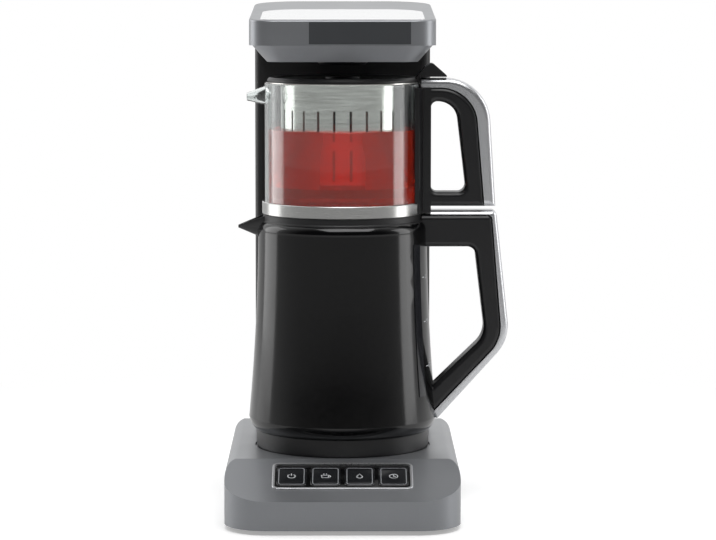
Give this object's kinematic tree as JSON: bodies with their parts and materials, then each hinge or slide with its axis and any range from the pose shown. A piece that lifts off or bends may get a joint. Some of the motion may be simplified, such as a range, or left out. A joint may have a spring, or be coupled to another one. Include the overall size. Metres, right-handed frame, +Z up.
{
  "type": "automatic tea maker",
  "caption": "Countertop tea maker with a base and rear tower, a brewing head, a lift-off kettle and a glass teapot stacked on it, and a row of push buttons.",
  "frame": {"origin": "centre of the whole object's footprint, on the surface that the feet rest on", "axes": "+Z up; -Y is the front with the buttons; +X is the side of the handles"},
  "size_m": [0.2242, 0.2814, 0.4031],
  "materials": {
    "grey_body": "satin metallic grey",
    "black_plastic": "fine satin black",
    "gloss_black": "gloss black",
    "kettle_enamel": "gloss black lacquer on steel",
    "silver": "satin silver",
    "steel": "brushed stainless steel",
    "screw_steel": "zinc-plated steel",
    "glass": "clear borosilicate glass",
    "clear_window": "smoked clear plastic",
    "rubber": "matte rubber",
    "hose": "translucent silicone",
    "button": "gloss black with light printed signs",
    "board_green": "green circuit board",
    "board_part": "moulded components",
    "brass": "turned brass",
    "pump": "natural moulded plastic",
    "motor": "plated steel can"
  },
  "bodies": {
    "root": {"base_cover": "grey_body", "base_tray": "black_plastic", "rubber_feet": "rubber", "base_screws": "screw_steel", "cord_gland": "rubber", "panel_frame": "silver", "button_panel": "gloss_black", "control_board": "board_green", "button_switches": "board_part", "power_board": "board_green", "board_parts": "board_part", "kettle_socket": "black_plastic", "socket_contacts": "brass", "water_nipple": "brass", "nipple_seal": "rubber", "pump_body": "pump", "pump_motor": "motor", "suction_hose": "hose", "riser_tube": "hose", "tower_front_cover": "black_plastic", "tower_rear_cover": "black_plastic", "tower_screws": "screw_steel", "head_upper_housing": "grey_body", "head_lower_housing": "grey_body", "head_top_plate": "silver", "head_front_panel": "gloss_black", "shower_nozzle": "black_plastic", "nozzle_seal": "rubber"},
    "kettle": {"kettle_body": "kettle_enamel", "level_window": "clear_window", "kettle_collar": "black_plastic", "kettle_foot_ring": "black_plastic", "heating_plate": "steel", "heater_element": "steel", "kettle_connector": "black_plastic", "valve_housing": "black_plastic", "kettle_handle": "black_plastic", "kettle_handle_cover": "silver", "valve_spring": "screw_steel"},
    "teapot": {"teapot_band": "steel", "teapot_glass": "glass", "infuser_basket": "steel", "teapot_handle": "black_plastic", "teapot_handle_cover": "silver"},
    "lid": {"teapot_lid": "black_plastic"},
    "valve": {"valve_plunger": "pump"},
    "impeller": {"pump_impeller": "pump"},
    "button_left": {"button_left": "button"},
    "button_middle_left": {"button_middle_left": "button"},
    "button_middle_right": {"button_middle_right": "button"},
    "button_right": {"button_right": "button"}
  },
  "joints": [
    {"name": "kettle_lift", "type": "slide", "parent": "root", "child": "kettle", "axis": [0, 0, 1], "range_m": [0, 0.0065]},
    {"name": "teapot_pull", "type": "slide", "parent": "kettle", "child": "teapot", "axis": [0, -0.9976, 0.0698], "range_m": [0, 0.25]},
    {"name": "lid_lift", "type": "slide", "parent": "teapot", "child": "lid", "axis": [0, 0, 1], "range_m": [0, 0.003]},
    {"name": "valve_slide", "type": "slide", "parent": "kettle", "child": "valve", "axis": [0, 0, -1], "range_m": [0, 0.0012]},
    {"name": "pump_spin", "type": "hinge", "parent": "root", "child": "impeller", "pos_m": [-0.02063, 0.1033, 0.025], "axis": [1, 0, 0], "continuous": true},
    {"name": "button_left_press", "type": "slide", "parent": "root", "child": "button_left", "axis": [0, 0.3078, -0.9514], "range_m": [0, 0.0012], "stiffness_N_per_m": 500, "springref_m": -0.001},
    {"name": "button_middle_left_press", "type": "slide", "parent": "root", "child": "button_middle_left", "axis": [0, 0.3078, -0.9514], "range_m": [0, 0.0012], "stiffness_N_per_m": 500, "springref_m": -0.001},
    {"name": "button_middle_right_press", "type": "slide", "parent": "root", "child": "button_middle_right", "axis": [0, 0.3078, -0.9514], "range_m": [0, 0.0012], "stiffness_N_per_m": 500, "springref_m": -0.001},
    {"name": "button_right_press", "type": "slide", "parent": "root", "child": "button_right", "axis": [0, 0.3078, -0.9514], "range_m": [0, 0.0012], "stiffness_N_per_m": 500, "springref_m": -0.001}
  ],
  "couplings": [
    {"joint": "valve_slide", "follows": "kettle_lift", "ratio": 0.18462}
  ]
}
